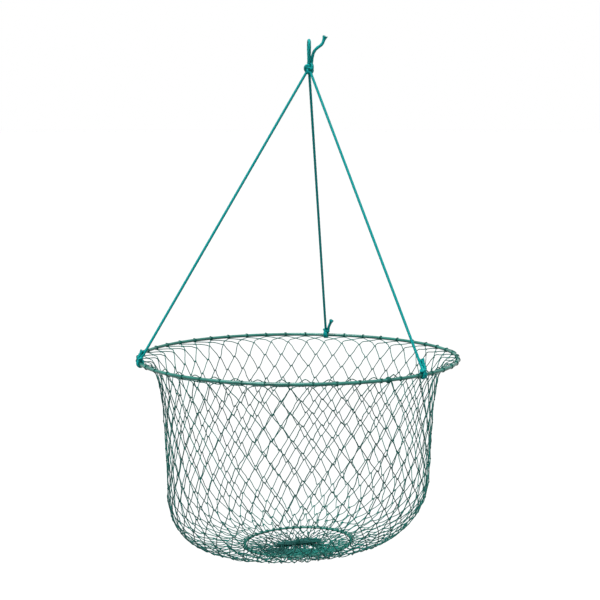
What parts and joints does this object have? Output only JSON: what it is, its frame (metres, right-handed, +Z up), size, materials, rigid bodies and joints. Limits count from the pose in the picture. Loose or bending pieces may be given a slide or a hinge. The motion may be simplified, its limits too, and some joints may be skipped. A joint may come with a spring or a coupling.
{
  "type": "folding crab net",
  "caption": "Folding crab trap: a deep basket of knotted twine netting between a large and a small steel ring, hung from a cord bridle with a haul loop.",
  "frame": {"origin": "inside of the haul loop's top bend, where a hook or line bears", "axes": "+Z up along the hanging line, +X towards the side where the bridle's knot stands off the rings' axis, +Y towards the single back leg"},
  "size_m": [0.6198, 0.6192, 0.9847],
  "materials": {
    "ring_coat": "satin",
    "bridle_cord": "satin",
    "lacing_twine": "matte",
    "net_twine": "matte"
  },
  "bodies": {
    "bridle_head": {"top_knot": "bridle_cord", "haul_loop": "bridle_cord", "bridle_tail": "bridle_cord"},
    "top_ring": {"top_ring": "ring_coat", "top_lacing": "lacing_twine", "top_hitches": "lacing_twine", "lacing_knot": "lacing_twine", "net_wall": "net_twine", "leg_left": "bridle_cord", "leg_right": "bridle_cord", "leg_back": "bridle_cord", "ring_knot_left": "bridle_cord", "ring_knot_right": "bridle_cord", "ring_knot_back": "bridle_cord", "knot_tail_left": "bridle_cord", "knot_tail_right": "bridle_cord", "knot_tail_back": "bridle_cord"},
    "bottom_ring": {"bottom_ring": "ring_coat", "bottom_lacing": "lacing_twine", "bottom_hitches": "lacing_twine", "net_floor": "net_twine", "bottom_gather": "net_twine", "gather_tie": "lacing_twine"}
  },
  "joints": [
    {"name": "bridle_fold", "type": "slide", "parent": "bridle_head", "child": "top_ring", "axis": [0, 0, 1], "range_m": [0, 0.5], "deforming": ["leg_left", "leg_right", "leg_back"]},
    {"name": "net_fold", "type": "slide", "parent": "top_ring", "child": "bottom_ring", "axis": [0, 0, 1], "range_m": [0, 0.33], "deforming": ["net_wall"]}
  ]
}
